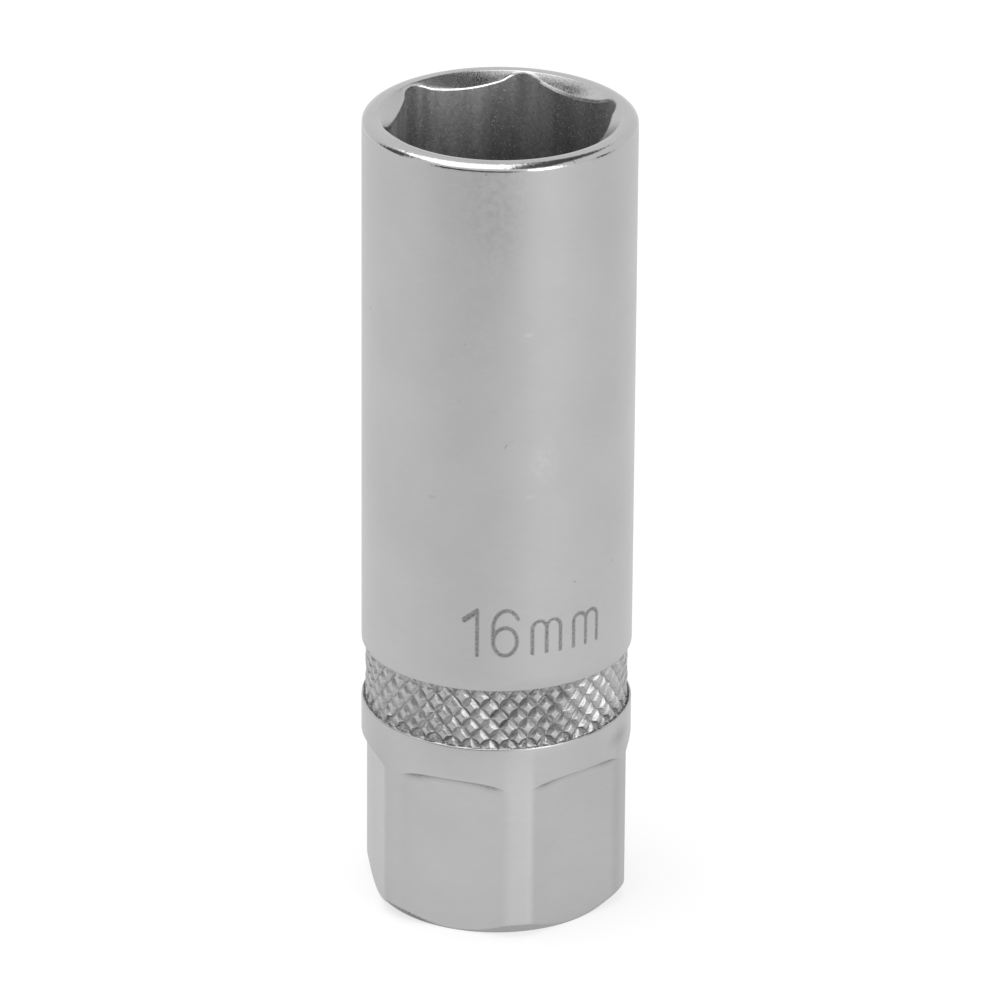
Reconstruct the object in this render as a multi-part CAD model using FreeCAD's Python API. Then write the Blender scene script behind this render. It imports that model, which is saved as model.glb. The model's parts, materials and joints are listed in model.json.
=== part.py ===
import FreeCAD, Part
import math
import os
from FreeCAD import Vector

# Deep spark plug socket: one turned, forged and knurled steel body with a rubber grip inside.
# It stands on its drive end. Z = 0 is the drive end face, and the plug end is up.
# The plug hexagon has a corner on the X axis and two flats across the Y axis.

# Whole body
socket_length = 65.0
plug_hex_af = 16.1            # 16 mm hexagon with its working play
plug_hex_relief_r = 1.68      # each corner opens into a round relief of this radius
plug_hex_corner_trim = 0.115  # a relief ends this far inside the sharp corner
plug_hex_depth = 18.0
corner_wall = 1.395           # steel left outside a corner of the plug hexagon
mouth_margin = 0.14           # lead-in cone runs this far past the hexagon's corners
mouth_slope = 34.0            # degrees between the lead-in cone and the end face
rim_across = 0.82             # width of the rounded rim
rim_down = 0.58               # height of the rounded rim

# Drive end with its spanner flats
flats_height = 13.44          # to the middle of a flat's arched top line
flats_crown = 0.62            # the top line falls this much towards the hexagon's corners
flat_depth = 0.975            # how far a spanner flat lies under the tube's surface
flats_turn = 21.3             # degrees from a plug hexagon corner to a spanner hexagon corner
end_land = 0.1                # the end chamfer starts this far inside the flats
end_chamfer_slope = 45.0

# Collar and diamond knurl
collar_height = 2.86
collar_bevel = 0.06
knurl_height = 5.1
knurl_count = 43              # diamonds in one row round the socket
knurl_half_rows = 6           # half diamonds from the bottom of the band to its top
knurl_recess = 0.32           # tops of the diamonds lie this far under the tube's surface
knurl_groove_depth = 0.3
knurl_top_share = 0.5         # width of a diamond's flat top as a share of the pitch
knurl_shoulder_height = 0.8   # the band slopes up to the tube over this height
knurl_foot_height = 1.2       # and down to the collar over this height
knurl_edge_step = 0.09        # small step where the slopes meet the tube and the collar
tube_bevel = 0.05             # bevel on the tube's lower edge

# Square drive
drive_af = 9.6
drive_corner_round = 0.6
drive_depth = 12.0
drive_mouth_margin = 0.25     # lead-in cone runs this far past the square's corners
drive_mouth_slope = 26.5
detent_height = 5.5           # centre of the ball dimples above the end face
detent_ball_r = 2.0
detent_depth = 0.9

# Round bore between the square and the hexagon
bore_step = 0.15              # the bore is this much inside the hexagon's flats
seat_ledge = 1.6              # the grip stands on a ledge of this width
drill_slope = 31.0            # degrees of the drilled cone above the square

# Rubber grip
grip_length = 18.0
grip_top_gap = 2.0            # from the grip's top to the end of the hexagon
grip_clearance = 0.05
grip_bore_d = 9.8             # holds the 10 mm insulator of the plug
grip_lip = 1.0                # rubber left round the lead-in at the top
grip_lead_depth = 4.0
grip_foot_depth = 3.0
grip_foot_step = 1.0          # the foot is hollowed out this far past the bore
groove_depth = 0.6            # ring groove in the steel that holds the grip's rib
groove_width = 2.0
groove_rise = 9.0             # from the ledge to the middle of the groove

# Sizes that follow from those above
hex_inner_r = plug_hex_af / 2.0
hex_corner_r = hex_inner_r / math.cos(math.radians(30.0)) - plug_hex_corner_trim
tube_r = hex_corner_r + corner_wall
mouth_r = hex_corner_r + mouth_margin
rim_width = min(rim_across, 0.8 * (tube_r - mouth_r))
flat_r = tube_r - flat_depth
end_r = flat_r - end_land
end_chamfer = (tube_r - end_r) * math.tan(math.radians(end_chamfer_slope))
knurl_bottom = flats_height + collar_height
knurl_top = knurl_bottom + knurl_height
knurl_row = knurl_height / knurl_half_rows
drive_r = drive_af / 2.0
drive_corner_r = (drive_r - drive_corner_round) * math.sqrt(2.0) + drive_corner_round
bore_r = hex_inner_r - bore_step
terminal_r = bore_r - seat_ledge
hex_floor = socket_length - plug_hex_depth
grip_top = hex_floor - grip_top_gap
seat = grip_top - grip_length
past = 1.0                    # cutting tools reach this far past the faces they cut


def ring_point(radius, degrees, height):
    angle = math.radians(degrees)
    return Vector(radius * math.cos(angle), radius * math.sin(angle), height)


def turned(outline):
    """Solid of revolution about Z from (radius, height) points, closed by its last side."""
    points = [Vector(r, 0.0, z) for r, z in outline]
    face = Part.Face(Part.makePolygon(points + points[:1]))
    return face.revolve(Vector(0, 0, 0), Vector(0, 0, 1), 360.0)


def rounded_prism(sides, inner_r, corner_round, first_corner, bottom, top):
    """Upright prism with rounded corners; first_corner is in degrees from the X axis."""
    corner_r = inner_r / math.cos(math.pi / sides)
    angles = [first_corner + 360.0 * i / sides for i in range(sides + 1)]
    outline = Part.makePolygon([ring_point(corner_r, a, bottom) for a in angles])
    prism = Part.Face(outline).extrude(Vector(0, 0, top - bottom))
    uprights = [e for e in prism.Edges if abs(e.Vertexes[0].Z - e.Vertexes[1].Z) > 0.5 * (top - bottom)]
    return prism.makeFillet(corner_round, uprights)


def turned_skin(height):
    """Radius of the knurl band before knurling: a straight floor that slopes out at both ends."""
    under_tube = (knurl_top - height) / knurl_shoulder_height
    over_collar = (height - knurl_bottom) / knurl_foot_height
    sunk = min(1.0, under_tube, over_collar)
    return tube_r - knurl_edge_step - (knurl_recess - knurl_edge_step) * sunk


def knurl_drum():
    """Solid drum with flat-topped diamonds between crossing V grooves."""
    half_turn = 180.0 / knurl_count
    top_half_turn = half_turn * knurl_top_share
    top_half_row = knurl_row * knurl_top_share
    faces = []

    def add(*points):
        faces.append(Part.Face(Part.makePolygon(list(points) + [points[0]])))

    def land(degrees, height):
        return ring_point(turned_skin(height), degrees, height)

    def crossing(column, row):
        height = knurl_bottom + row * knurl_row
        return ring_point(turned_skin(height) - knurl_groove_depth, column * half_turn, height)

    def diamond(column, row):
        turn = column * half_turn
        height = knurl_bottom + row * knurl_row
        left = land(turn - top_half_turn, height)
        right = land(turn + top_half_turn, height)
        for step in (-1, 1):
            if 0 <= row + step <= knurl_half_rows:
                tip = land(turn, height + step * top_half_row)
                far = crossing(column, row + step)
                add(left, right, tip)
                add(left, tip, far)
                add(left, far, crossing(column - 1, row))
                add(right, tip, far)
                add(right, far, crossing(column + 1, row))

    def end_outline(row):
        points = []
        for column in range(row % 2, 2 * knurl_count, 2):
            turn = column * half_turn
            height = knurl_bottom + row * knurl_row
            points.append(land(turn - top_half_turn, height))
            points.append(land(turn + top_half_turn, height))
            points.append(crossing(column + 1, row))
        return points

    for row in range(knurl_half_rows + 1):
        for column in range(row % 2, 2 * knurl_count, 2):
            diamond(column, row)
    add(*end_outline(0))
    add(*end_outline(knurl_half_rows))
    skin = Part.makeCompound(faces)
    skin.sewShape()
    return Part.makeSolid(skin.Shells[0])


def flat_cutter():
    """Takes one spanner flat off the X side, with an arched top."""
    half_width = flat_r * math.tan(math.radians(30.0))
    side_top = flats_height - flats_crown
    outline = [Vector(flat_r, half_width, side_top), Vector(flat_r, half_width, -past),
               Vector(flat_r, -half_width, -past), Vector(flat_r, -half_width, side_top)]
    arch = Part.Arc(outline[-1], Vector(flat_r, 0, flats_height), outline[0]).toShape()
    face = Part.Face(Part.Wire([arch] + Part.makePolygon(outline).Edges))
    return face.extrude(Vector(tube_r - flat_r + past, 0, 0))


def drive_blank():
    """Drive end and collar under the knurl, with the end chamfer and the six spanner flats."""
    blank = turned([(0.0, 0.0), (end_r, 0.0), (tube_r, end_chamfer),
                    (tube_r, knurl_bottom), (0.0, knurl_bottom)])
    top_edge = [e for e in blank.Edges if abs(e.BoundBox.ZMin - knurl_bottom) < 1e-6
                and e.BoundBox.ZLength < 1e-6 and e.BoundBox.XLength > tube_r]
    blank = blank.makeChamfer(collar_bevel, top_edge)
    cutters = []
    for side in range(6):
        cutter = flat_cutter()
        cutter.rotate(Vector(0, 0, 0), Vector(0, 0, 1), flats_turn + 30.0 + 60.0 * side)
        cutters.append(cutter)
    return blank.cut(cutters)


def tube_blank():
    """Plain tube above the knurl with its rounded rim."""
    rim_low = socket_length - rim_down
    low = [Vector(tube_r, 0, rim_low), Vector(tube_r, 0, knurl_top + tube_bevel),
           Vector(tube_r - tube_bevel, 0, knurl_top), Vector(0, 0, knurl_top),
           Vector(0, 0, socket_length), Vector(tube_r - rim_width, 0, socket_length)]
    lean = math.radians(45.0)
    middle = Vector(tube_r - rim_width * (1.0 - math.cos(lean)), 0, rim_low + rim_down * math.sin(lean))
    rim = Part.Arc(low[0], middle, low[-1]).toShape()
    face = Part.Face(Part.Wire([rim] + Part.makePolygon(low).Edges))
    return face.revolve(Vector(0, 0, 0), Vector(0, 0, 1), 360.0)


def cone_cut(outer_r, inner_r, slope, end_height, direction):
    """Lead-in cone that narrows from outer_r at an end face to inner_r inside the body."""
    run = math.tan(math.radians(slope))
    deep = end_height - direction * (outer_r - inner_r) * run
    clear = end_height + direction * past
    return turned([(0.0, clear), (outer_r, clear), (outer_r, end_height),
                   (inner_r, deep), (0.0, deep)])


def inside():
    """Everything that is cut out of the body, from the plug end to the drive end."""
    top = socket_length + past
    hexagon = rounded_prism(6, hex_inner_r, 1.2 * plug_hex_relief_r, 0.0, hex_floor, top)
    reliefs = []
    for corner in range(6):
        centre = ring_point(hex_corner_r - plug_hex_relief_r, 60.0 * corner, hex_floor)
        reliefs.append(Part.makeCylinder(plug_hex_relief_r, top - hex_floor, centre))
    mouth = cone_cut(mouth_r, hex_inner_r, mouth_slope, socket_length, 1)
    cone_top = drive_depth + (terminal_r - drive_r) * math.tan(math.radians(drill_slope))
    groove_low = seat + groove_rise - groove_width / 2.0
    groove_high = seat + groove_rise + groove_width / 2.0
    bore = turned([(0.0, drive_depth), (drive_r, drive_depth), (terminal_r, cone_top),
                   (terminal_r, seat), (bore_r, seat), (bore_r, groove_low),
                   (bore_r + groove_depth, groove_low), (bore_r + groove_depth, groove_high),
                   (bore_r, groove_high), (bore_r, hex_floor + past), (0.0, hex_floor + past)])
    square = rounded_prism(4, drive_r, drive_corner_round, 45.0, -past, cone_top)
    square_mouth = cone_cut(drive_corner_r + drive_mouth_margin, drive_r, drive_mouth_slope, 0.0, -1)
    cuts = reliefs + [mouth, bore, square, square_mouth]
    for turn in (0.0, 90.0, 180.0, 270.0):
        centre = ring_point(drive_r + detent_depth - detent_ball_r, turn, detent_height)
        cuts.append(Part.makeSphere(detent_ball_r, centre))
    return hexagon.fuse(cuts)


def make_socket_body():
    steel = drive_blank().fuse([knurl_drum(), tube_blank()])
    return steel.cut(inside())


def make_rubber_grip():
    outer_r = bore_r - grip_clearance
    rib_r = outer_r + groove_depth
    rib_low = seat + groove_rise - groove_width / 2.0 + grip_clearance
    rib_high = seat + groove_rise + groove_width / 2.0 - grip_clearance
    bore = grip_bore_d / 2.0
    foot_r = bore + grip_foot_step
    return turned([(foot_r, seat), (outer_r, seat), (outer_r, rib_low), (rib_r, rib_low),
                   (rib_r, rib_high), (outer_r, rib_high), (outer_r, grip_top),
                   (outer_r - grip_lip, grip_top), (bore, grip_top - grip_lead_depth),
                   (bore, seat + grip_foot_depth), (foot_r, seat + grip_foot_depth)])


pieces = {
    "socket_body": make_socket_body(),
    "rubber_grip": make_rubber_grip(),
}

os.makedirs("parts", exist_ok=True)
for name, shape in pieces.items():
    shape.exportStep("parts/" + name + ".step")
    print(name, "valid", shape.isValid(), "solids", len(shape.Solids), "faces", len(shape.Faces),
          "volume", round(shape.Volume, 2), "mm3")
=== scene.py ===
import json
import math
import random
import bpy
import numpy as np
from mathutils import Matrix, Vector

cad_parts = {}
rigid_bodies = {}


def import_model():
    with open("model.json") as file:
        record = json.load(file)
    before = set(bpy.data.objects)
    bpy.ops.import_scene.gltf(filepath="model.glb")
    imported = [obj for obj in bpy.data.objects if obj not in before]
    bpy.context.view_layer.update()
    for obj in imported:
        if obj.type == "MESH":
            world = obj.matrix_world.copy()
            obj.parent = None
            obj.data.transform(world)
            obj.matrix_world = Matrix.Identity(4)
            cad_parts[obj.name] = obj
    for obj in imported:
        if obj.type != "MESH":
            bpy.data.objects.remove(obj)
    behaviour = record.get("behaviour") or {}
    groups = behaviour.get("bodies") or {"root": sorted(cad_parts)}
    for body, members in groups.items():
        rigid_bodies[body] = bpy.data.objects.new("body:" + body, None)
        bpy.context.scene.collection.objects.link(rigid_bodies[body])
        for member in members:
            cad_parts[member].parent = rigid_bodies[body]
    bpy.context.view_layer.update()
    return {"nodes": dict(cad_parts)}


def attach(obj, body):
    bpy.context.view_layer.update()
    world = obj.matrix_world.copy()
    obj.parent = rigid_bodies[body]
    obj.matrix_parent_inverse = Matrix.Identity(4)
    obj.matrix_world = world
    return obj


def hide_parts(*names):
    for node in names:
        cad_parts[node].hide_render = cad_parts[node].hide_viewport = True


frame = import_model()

mm = 0.001

# the steel body's main sizes in millimetres, the same as in the solid part
steel = {
    "length": 65.0,
    "tubeR": 10.575,
    "plugHexInner": 8.05,  # from the axis to a flat
    "plugHexCorner": 9.18,  # from the axis to the far side of a corner's round relief
    "plugHexRelief": 1.68,  # radius of that relief
    "plugHexFloor": 47.0,
    "boreR": 7.9,
    "terminalR": 6.3,  # bore under the grip
    "seat": 27.0,  # ledge that the grip stands on
    "driveInner": 4.8,
    "driveRound": 0.6,
    "driveDepth": 12.0,
    "flatInner": 9.6,
    "flatsTurn": 21.3,  # degrees from a corner of the plug hexagon to one of the spanner hexagon
    "endR": 9.5,  # flat ring of the end face
}


def smoothMax(a, b, blend):
    share = np.clip(0.5 + 0.5 * (a - b) / blend, 0.0, 1.0)
    return b + (a - b) * share + blend * share * (1.0 - share)


def smoothMin(a, b, blend):
    return -smoothMax(-a, -b, blend)


def between(value, low, high):
    # 0 at low, 1 at high, held at both ends
    return np.clip((value - low) / (high - low), 0.0, 1.0)


def window(value, start, full, fall, end):
    # 0 outside start and end, 1 from full to fall
    return between(value, start, full) * (1.0 - between(value, fall, end))


def atLeast(least, share):
    # turns a share from 0..1 into one from least..1
    return least + (1.0 - least) * share


def turnFrom(centre, angles):
    # signed turn from a centre line, in degrees
    return (angles - centre + 180.0) % 360.0 - 180.0


cameraSideTurn = -108.8  # the camera's side, where the painted shade on the lip and the rim is strongest, in degrees


def frontShare(angles, low, high):
    # 1 on the camera's side and 0 behind it, for painted shade, low and high are cosines of the turn from
    # there
    return between(np.cos(np.radians(angles - cameraSideTurn)), low, high)


def columnAngles(step, zones):
    # angles round the axis in degrees, with finer steps in zones of (centre, half width, step)
    angles = [a for a in np.arange(0.0, 360.0 - 1e-6, step)
              if all(abs(turnFrom(centre, a)) > half for centre, half, fine in zones)]
    for centre, half, fine in zones:
        count = int(round(2 * half / fine))
        angles += [(centre - half + 2 * half * i / count) % 360.0 for i in range(count + 1)]
    return np.array(sorted(set(round(a, 5) for a in angles)))


# what each point of the skin carries for the chrome, one layer on the mesh for each
finishNames = (
    "polish",  # smoother plating, as on the rim
    "cutAndPaintedShade",  # dark metal in cuts and worn edges, and painted shade in grooves, recesses, under ledges and on the camera's side
    "innerSkin",  # dull plating of the hole
    "rolledBand",  # rolling lines of the knurl
    "plateGrain",  # coarse grain on the lead-in cone
    "paintedLightShade",  # painted light and shade on the flats and the collar, from -1 to 1
)


def newSkin():
    return {"points": [], "faces": [], "finish": []}


def addLoop(skin, angles, radii, heights, finish=None):
    # one ring of points, finish says how much of each finish its points have
    finish = finish or {}
    start = len(skin["points"])
    radii = np.broadcast_to(radii, angles.shape)
    heights = np.broadcast_to(heights, angles.shape)
    marks = np.stack([np.broadcast_to(finish.get(name, 0.0), angles.shape) for name in finishNames], axis=1)
    for turn, r, z in zip(np.radians(angles), radii, heights):
        skin["points"].append((r * math.cos(turn) * mm, r * math.sin(turn) * mm, z * mm))
    skin["finish"] += marks.tolist()
    return list(range(start, start + len(angles)))


def joinLoops(skin, low, high):
    count = len(low)
    for i in range(count):
        j = (i + 1) % count
        skin["faces"].append((low[i], low[j], high[j], high[i]))
    return high


def zipLoops(skin, low, high):
    # joins rings with different numbers of points, in step with their angles
    def opened(ids):
        angles = [math.atan2(skin["points"][i][1], skin["points"][i][0]) % (2 * math.pi) for i in ids]
        first = angles.index(min(angles))
        ids = ids[first:] + ids[:first]
        angles = angles[first:] + angles[:first]
        return ids + ids[:1], angles + [angles[0] + 2 * math.pi]

    lowIds, lowAngles = opened(low)
    highIds, highAngles = opened(high)
    i = j = 0
    while i < len(lowIds) - 1 or j < len(highIds) - 1:
        takeLow = j == len(highIds) - 1
        if i < len(lowIds) - 1 and j < len(highIds) - 1:
            takeLow = lowAngles[i + 1] <= highAngles[j + 1]
        if takeLow:
            skin["faces"].append((lowIds[i], lowIds[i + 1], highIds[j]))
            i += 1
        else:
            skin["faces"].append((lowIds[i], highIds[j + 1], highIds[j]))
            j += 1
    return high


def addRows(skin, before, angles, rows):
    for row in rows:
        before = joinLoops(skin, before, addLoop(skin, angles, *row))
    return before


# lead-in cone and plug hexagon
mouth = {
    "coneR": 9.32,  # the cone at the end face
    "coneSlope": 34.0,  # degrees between the cone and the end face
    "ridgeStep": 0.13,  # from the cone out to the rim's ridge
    "ridgeProfile": ((0.04, 0.01), (-0.03, 0.036)),  # steps from the cone's edge: outward, down
    "edgeBlend": 0.26,  # softness of the edge between the cone and the hexagon
    "coneRows": 27,
    "firstDepth": 0.08,
    "underEdge": 0.35,  # the last cone row lies this far under the edge on a flat
    "edgeMiddle": 0.04,
    "edgeFade": (0.06, 0.15),  # the bright edge fades out here, from its middle
    "skinFade": (0.1, 0.26),  # the dull skin of the hole starts here under the edge
    "grainFade": (-0.2, -0.05),  # and the cone's grain ends here above it
    "rimPolish": 0.6,
    "conePolish": 0.45,
    "conePaintedShade": 0.95,
    "shallowPaintedShade": 0.6,  # share of that painted shade next to the rim, it grows deeper into the hole
    "paintedShadeDepth": (0.1, 0.45),
    "coneDarkReflectionTurn": 40.0,  # middle of the painted dark reflection on the cone, the spans below are turns from here
    "coneDarkReflectionSpan": (-24.0, -12.0, 42.0, 58.0),
    "coneDarkReflectionLeast": 0.04,
    "grainSpan": (-30.0, -10.0, 50.0, 72.0),
    "grainLeast": 0.08,
    "wornTurn": 14.0,  # the edge is worn dark here
    "wornFade": (16.0, 24.0),
    "wornShade": 0.45,
    "wallHeights": (63.2, 62.0, 61.0, 60.0, 59.0, 58.0, 57.0, 56.0, 55.0, 54.0, 51.0),
    "wallPaintedShade": (62.5, 54.0),  # painted shade on the walls grows from the first height to the second
    "paintedDepthShade": 0.5,
    "floorStep": 0.1,  # the last wall row lies this far over the hexagon's floor
    "floorRound": 0.05,
}
# the dull skin of the hole, with painted shade deep down
deepSkinAndShade = {"innerSkin": 1.0, "cutAndPaintedShade": mouth["paintedDepthShade"]}


def roundCorneredHole(fromCorner, sides, inner, centre, cornerR):
    # radii of a hole with flat sides, its corners are circles of cornerR round centre
    halfSide = math.pi / sides
    flat = inner / np.cos(halfSide - fromCorner)
    over = inner - centre * math.cos(halfSide)
    half = math.sqrt(max(0.0, cornerR ** 2 - over ** 2))
    meetX = centre + over * math.cos(halfSide) - half * math.sin(halfSide)
    meetY = over * math.sin(halfSide) + half * math.cos(halfSide)
    inside = np.maximum(cornerR ** 2 - (centre * np.sin(fromCorner)) ** 2, 0.0)
    corner = centre * np.cos(fromCorner) + np.sqrt(inside)
    return np.where(fromCorner < math.atan2(meetY, meetX), corner, flat)


def plugHexagon(angles):
    fromCorner = np.radians(np.abs((angles + 30.0) % 60.0 - 30.0))
    centre = steel["plugHexCorner"] - steel["plugHexRelief"]
    return roundCorneredHole(fromCorner, 6, steel["plugHexInner"], centre, steel["plugHexRelief"])


def mouthRows(angles):
    # from the rim's ridge down the cone and the hexagon's walls
    top = steel["length"]
    hexR = plugHexagon(angles)
    slope = math.tan(math.radians(mouth["coneSlope"]))
    rows = [(mouth["coneR"] + out, top - down, {"polish": mouth["rimPolish"]})
            for out, down in mouth["ridgeProfile"]]
    fromConeDarkReflection = turnFrom(mouth["coneDarkReflectionTurn"], angles)
    coneDarkReflection = atLeast(mouth["coneDarkReflectionLeast"], window(fromConeDarkReflection, *mouth["coneDarkReflectionSpan"]))
    grained = atLeast(mouth["grainLeast"], window(fromConeDarkReflection, *mouth["grainSpan"]))
    wornAndShaded = 1.0 - between(np.abs(turnFrom(mouth["wornTurn"], angles)), *mouth["wornFade"])
    deepest = (mouth["coneR"] - steel["plugHexInner"]) * slope + mouth["underEdge"]
    for depth in np.linspace(mouth["firstDepth"], deepest, mouth["coneRows"]):
        cone = mouth["coneR"] - depth / slope
        past = (hexR - cone) * slope  # how far under the cone's lower edge
        onCone = past < 0.0
        edge = 1.0 - between(np.abs(past - mouth["edgeMiddle"]), *mouth["edgeFade"])
        polish = edge * (1.0 - wornAndShaded)
        # painted shade on the cone: a dark reflection that deepens into the hole
        dark = mouth["conePaintedShade"] * atLeast(mouth["shallowPaintedShade"], between(depth, *mouth["paintedShadeDepth"]))
        finish = {
            "polish": np.where(onCone, np.maximum(polish, mouth["conePolish"]), polish),
            "cutAndPaintedShade": np.maximum(dark * coneDarkReflection * (1.0 - edge) * onCone, mouth["wornShade"] * edge * wornAndShaded),
            "innerSkin": between(past, *mouth["skinFade"]),
            "plateGrain": grained * (1.0 - between(past, *mouth["grainFade"])),
        }
        rows.append((smoothMax(hexR, cone, mouth["edgeBlend"]), top - depth, finish))
    for z in mouth["wallHeights"] + (steel["plugHexFloor"] + mouth["floorStep"],):
        # painted shade, darker deeper down the walls
        shade = mouth["paintedDepthShade"] * between(z, *mouth["wallPaintedShade"])
        rows.append((hexR, z, {"innerSkin": 1.0, "cutAndPaintedShade": shade}))
    rows.append((hexR - mouth["floorRound"], steel["plugHexFloor"], deepSkinAndShade))
    return rows


# round bore with the ring groove that holds the grip's rib
bore = {
    "grooveR": 8.5,
    "grooveLow": 35.0,
    "grooveHigh": 37.0,
    "edgeAcross": 0.03,
    "edgeDown": 0.05,
}


def boreRows():
    floor = steel["plugHexFloor"]
    profile = [
        (steel["boreR"] + bore["edgeAcross"], floor),
        (steel["boreR"], floor - bore["edgeDown"]),
        (steel["boreR"], bore["grooveHigh"]),
        (bore["grooveR"], bore["grooveHigh"]),
        (bore["grooveR"], bore["grooveLow"]),
        (steel["boreR"], bore["grooveLow"]),
        (steel["boreR"], steel["seat"]),
        (steel["terminalR"], steel["seat"]),
    ]
    return [(r, z, deepSkinAndShade) for r, z in profile]


# drilled cone, square drive with its ball dimples, and the square's lead-in cone
drive = {
    "drillSlope": 31.0,
    "drillBlend": 0.08,
    "drillRows": 7,
    "drillStep": 0.001,  # the square's corners open out this far under the top of the cone
    "wallHeights": (10.0, 8.2),
    "dimpleHeight": 5.5,
    "dimpleBall": 2.0,
    "dimpleDepth": 0.9,
    "dimpleSpan": (7.4, 3.6),
    "dimpleRows": 15,
    "mouthR": 6.79,
    "mouthSlope": 26.5,
    "mouthBlend": 0.1,
    "mouthHeights": (2.4, 1.3, 1.1, 0.95, 0.8, 0.65, 0.5, 0.35, 0.2, 0.08),
    "skinFade": (-0.1, 0.3),  # the dull skin ends where the cone meets the square
    "edgeProfile": ((-0.02, 0.02), (0.05, 0.0)),  # steps from the cone's edge: outward, up
}


def driveSquare(angles):
    fromCorner = np.radians(np.abs(angles % 90.0 - 45.0))
    centre = (steel["driveInner"] - steel["driveRound"]) * math.sqrt(2.0)
    return roundCorneredHole(fromCorner, 4, steel["driveInner"], centre, steel["driveRound"])


def dimpleRadius(angles, height):
    # the ball's surface in the middle of each side, 0 beside it
    centre = steel["driveInner"] + drive["dimpleDepth"] - drive["dimpleBall"]
    fromBall = np.radians((angles + 45.0) % 90.0 - 45.0)
    inside = drive["dimpleBall"] ** 2 - (height - drive["dimpleHeight"]) ** 2
    inside = inside - (centre * np.sin(fromBall)) ** 2
    return np.where(inside > 0.0, centre * np.cos(fromBall) + np.sqrt(np.maximum(inside, 0.0)), 0.0)


def driveRows(angles):
    # from the bore under the grip down to the end face
    squareR = driveSquare(angles)
    drill = math.tan(math.radians(drive["drillSlope"]))
    coneTop = steel["driveDepth"] + (steel["terminalR"] - steel["driveInner"]) * drill
    rows = [(steel["terminalR"], coneTop, deepSkinAndShade),
            (np.maximum(steel["terminalR"], squareR), coneTop - drive["drillStep"], deepSkinAndShade)]
    for z in np.linspace(coneTop, steel["driveDepth"], drive["drillRows"])[1:]:
        cone = steel["driveInner"] + (z - steel["driveDepth"]) / drill
        rows.append((smoothMax(squareR, cone, drive["drillBlend"]), z, deepSkinAndShade))
    for z in drive["wallHeights"]:
        rows.append((squareR, z, deepSkinAndShade))
    for z in np.linspace(*drive["dimpleSpan"], drive["dimpleRows"]):
        rows.append((np.maximum(squareR, dimpleRadius(angles, z)), z, deepSkinAndShade))
    slope = math.tan(math.radians(drive["mouthSlope"]))
    for z in drive["mouthHeights"]:
        cone = drive["mouthR"] - z / slope
        skin = between(squareR - cone, *drive["skinFade"])
        rows.append((smoothMax(squareR, cone, drive["mouthBlend"]), z, {"innerSkin": skin}))
    return rows + [(drive["mouthR"] + out, up) for out, up in drive["edgeProfile"]]


# end chamfer, spanner flats and collar, turns in degrees and heights in millimetres
spanner = {
    "endRound": 0.02,
    "chamferSlope": 45.0,
    "chamferBlend": 0.2,
    "chamferHeights": (0.06, 0.12, 0.19, 0.28, 0.39, 0.51, 0.64, 0.78, 0.91, 1.02, 1.12, 1.26, 1.5, 1.8),
    "chamferFade": (-0.06, 0.02),  # from the flats to the chamfer
    "chamferPaintedShade": 0.3,
    "chamferDarkReflectionTurn": 206.0,  # the chamfer's painted dark reflection is strongest here
    "chamferDarkReflectionFade": (9.0, 18.0),
    "chamferDarkReflectionShade": 0.65,
    "flatBlend": 0.2,
    "flatShares": (0.25, 0.5, 0.75),  # heights of the rows on a flat, as shares of its height
    "flatsTop": 13.44,
    "crown": 0.48,  # the arched top line falls this much to its ends
    "crownHalfTurn": 21.5,
    "ledgeRound": 0.45,  # radius of the small round, at most ledgeShare of the step
    "ledgeShare": 0.8,
    "ledgeTurns": (0.0, 25.0, 48.0, 68.0, 84.0),
    "underLedge": ((0.45, 0.0), (0.15, 0.15)),  # rows under the round: how far, and their painted shade
    "ledgeFootPaintedShade": 0.42,  # painted shade at the foot of the round
    "ledgeTopPaintedShade": 0.34,  # and the painted shade its top has besides
    "shadePower": 0.8,
    "markedStep": (0.1, 0.4),  # only a step of this depth gets the painted dark line
    "linePaintedShade": 0.72,
    "lineBevel": 0.05,  # at most bevelShare of the step
    "bevelShare": 0.1,
    "overLine": ((0.04, 0.8, 1.0), (0.09, 0.0, 0.95), (0.4, 0.0, 0.85)),  # height, share of the painted shade, share of the painted light and shade
    "faintTurn": 171.3,  # the painted dark line is faint over this flat
    "faintFade": (22.0, 32.0),
    "faintShare": 0.25,
    "collarHeights": (13.9, 14.2, 14.45, 14.7, 14.95, 15.2, 15.5, 16.24),
    "collarTop": 16.36,
    "lipHeight": 0.04,
    "burr": 0.018,
    "lipPaintedShade": 0.3,  # middle and spread of the painted shade on the torn lip, with random wear
    "lipPaintedShadeMost": 0.8,
    "lipSeed": 11,
    "frontFade": (0.2, 0.6),  # cosines of the turns where the painted shade on the lip starts and is full
    "smudgeTurn": 317.0,
    "smudgeHeight": 14.7,
    "smudgeHalfWidth": 2.2,  # its half height is 1
    "smudgeFade": (0.1, 1.0),
    "smudgeShade": 0.34,
    "collarPaintedLightShade": (0.72, 0.18),  # what the collar's foot keeps of the painted light and shade, and the loss per millimetre
}
# painted light and shade on the flats and the collar, by turn
paintedLightTurns = (150.0, 165.0, 194.0, 203.0, 214.0, 254.0, 257.0, 266.0, 268.5, 312.0, 315.0, 332.0, 345.0)
paintedLightShares = (0.0, -0.45, -0.45, 0.0, 0.45, 0.45, 1.0, 1.0, -0.2, -0.25, -0.8, -0.8, 0.0)


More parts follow.
